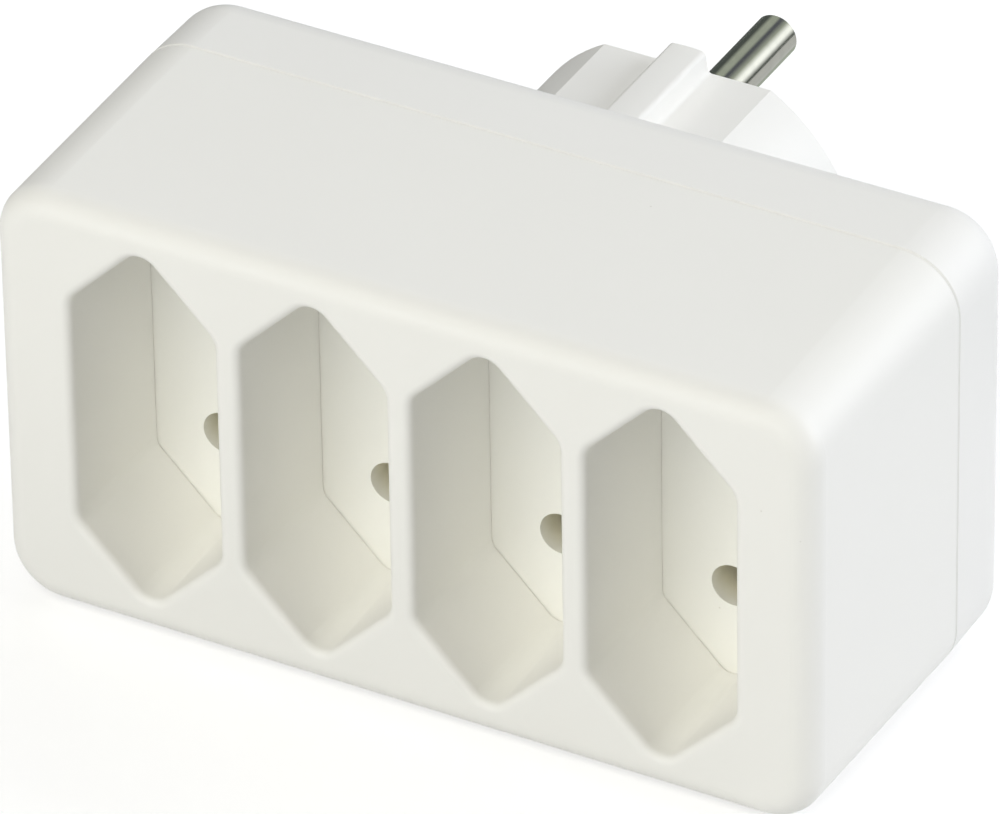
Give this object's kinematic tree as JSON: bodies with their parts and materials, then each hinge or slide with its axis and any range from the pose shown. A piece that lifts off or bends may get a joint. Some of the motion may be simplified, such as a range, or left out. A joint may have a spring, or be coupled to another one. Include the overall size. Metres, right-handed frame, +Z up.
{
  "type": "multi socket adapter",
  "caption": "White mains adapter: rounded block with a row of flat two-pin sockets in front and a round two-pin contour plug behind, with brass strips and spring clips inside.",
  "frame": {"origin": "on the lowest edge, at the parting line's height, under the middle of the outer box", "axes": "+X along the row of sockets, +Y from the socket face to the tips of the plug pins, +Z up"},
  "size_m": [0.0922, 0.0808, 0.0499],
  "materials": {
    "housing_plastic": "moulded, fine satin texture",
    "cover_plastic": "moulded, fine satin texture",
    "carrier_plastic": "moulded, satin",
    "brass": "rolled sheet",
    "pin_nickel": "nickel plated, turned brass",
    "screw_steel": "zinc plated"
  },
  "bodies": {
    "root": {"front_housing": "housing_plastic", "rear_cover": "cover_plastic", "contact_carrier": "carrier_plastic", "clip_rivets": "brass", "housing_screws": "screw_steel", "bus_bar_upper": "brass", "bus_bar_lower": "brass", "socket_clip_1_upper": "brass", "socket_clip_1_lower": "brass", "socket_clip_2_upper": "brass", "socket_clip_2_lower": "brass", "socket_clip_3_upper": "brass", "socket_clip_3_lower": "brass", "socket_clip_4_upper": "brass", "socket_clip_4_lower": "brass", "plug_pin_upper": "pin_nickel", "plug_pin_lower": "pin_nickel"}
  },
  "joints": []
}
